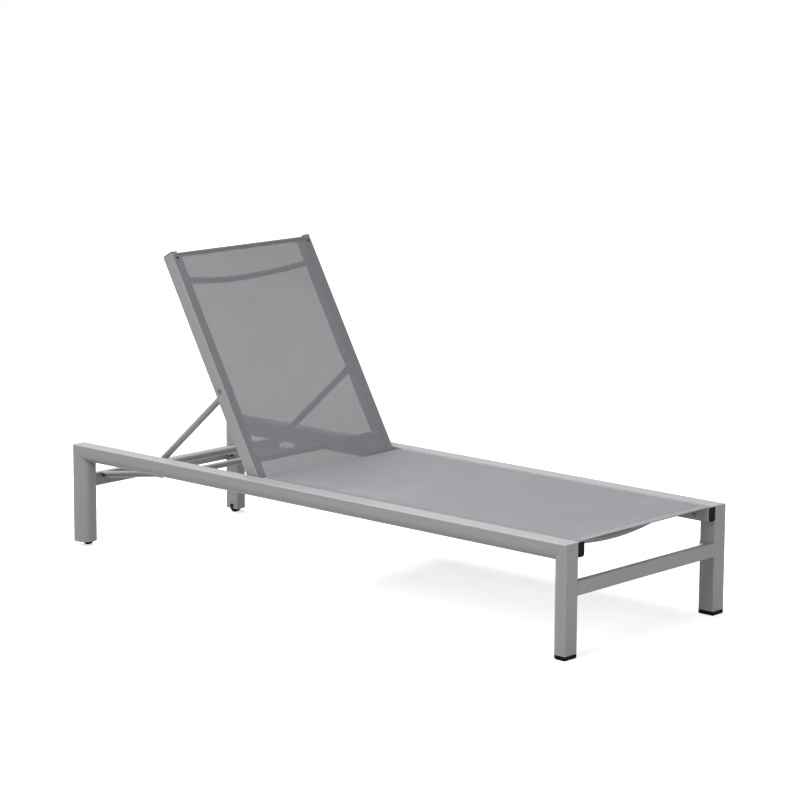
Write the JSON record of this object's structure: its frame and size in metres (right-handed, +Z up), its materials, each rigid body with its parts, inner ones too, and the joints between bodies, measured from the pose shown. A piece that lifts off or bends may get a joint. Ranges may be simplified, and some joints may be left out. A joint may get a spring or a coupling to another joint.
{
  "type": "reclining sun lounger",
  "caption": "Reclining sun lounger with a square aluminium tube frame, woven mesh slings, a racked backrest and two wheels hidden in the head end's legs.",
  "frame": {"origin": "on the floor under the middle of the frame", "axes": "+Z up, +Y along the frame toward the head end, +X across the frame toward its right side seen from the foot end"},
  "size_m": [0.7, 1.93, 0.9309],
  "materials": {
    "satin_aluminium": "satin grey powder coat",
    "woven_sling": "see-through woven mesh",
    "black_plastic": "matt",
    "dark_grey_coat": "satin dark grey powder coat",
    "wheel_black": "matt moulded",
    "black_bolt": "black oxide",
    "bright_steel": "bright"
  },
  "bodies": {
    "frame": {"side_rail_left": "satin_aluminium", "side_rail_right": "satin_aluminium", "front_leg_left": "satin_aluminium", "front_leg_right": "satin_aluminium", "rear_leg_left": "satin_aluminium", "rear_leg_right": "satin_aluminium", "foot_stretcher": "satin_aluminium", "head_stretcher": "satin_aluminium", "seat_rail_left": "satin_aluminium", "seat_rail_right": "satin_aluminium", "seat_spreader_foot": "satin_aluminium", "seat_spreader_head": "satin_aluminium", "rack_arm_left": "satin_aluminium", "rack_arm_right": "satin_aluminium", "rack_crossbar": "satin_aluminium", "rack_plate_left": "satin_aluminium", "rack_plate_right": "satin_aluminium", "rack_hanger_left": "satin_aluminium", "rack_hanger_right": "satin_aluminium", "foot_cap_left": "black_plastic", "foot_cap_right": "black_plastic", "seat_rail_caps": "black_plastic", "hinge_spacers": "black_plastic", "head_bolts": "black_bolt", "rack_end_bolts": "black_bolt", "axle_bolts": "black_bolt", "foot_screws": "bright_steel", "seat_rail_screws": "bright_steel", "seat_spreader_plugs": "bright_steel", "rack_hanger_bolts": "bright_steel", "hinge_bolts": "bright_steel", "seat_sling": "woven_sling"},
    "backrest": {"back_rail_left": "satin_aluminium", "back_rail_right": "satin_aluminium", "back_spreader": "satin_aluminium", "back_low_bar": "satin_aluminium", "back_top_bar": "dark_grey_coat", "back_bar_plugs": "bright_steel", "bail_pivot_bolts": "bright_steel", "bail_washers": "bright_steel", "sling_rivets": "black_bolt", "back_rail_caps": "black_plastic", "back_sling": "woven_sling"},
    "support_bail": {"bail_arm_left": "satin_aluminium", "bail_arm_right": "satin_aluminium", "bail_bar": "satin_aluminium", "bail_bar_plugs": "black_plastic"},
    "wheel_left": {"wheel_left": "wheel_black"},
    "wheel_right": {"wheel_right": "wheel_black"}
  },
  "joints": [
    {"name": "backrest_recline", "type": "hinge", "parent": "frame", "child": "backrest", "pos_m": [0, 0.243, 0.29225], "axis": [1, 0, 0], "range_deg": [-60.2, 0]},
    {"name": "bail_swing", "type": "hinge", "parent": "backrest", "child": "support_bail", "pos_m": [0, 0.38514, 0.54043], "axis": [1, 0, 0], "range_deg": [0, 92.5]},
    {"name": "wheel_left_roll", "type": "hinge", "parent": "frame", "child": "wheel_left", "pos_m": [-0.315, 0.94, 0.021], "axis": [1, 0, 0], "continuous": true},
    {"name": "wheel_right_roll", "type": "hinge", "parent": "frame", "child": "wheel_right", "pos_m": [0.315, 0.94, 0.021], "axis": [1, 0, 0], "continuous": true}
  ],
  "couplings": [
    {"joint": "bail_swing", "follows": "backrest_recline", "ratio": -1.5351}
  ]
}
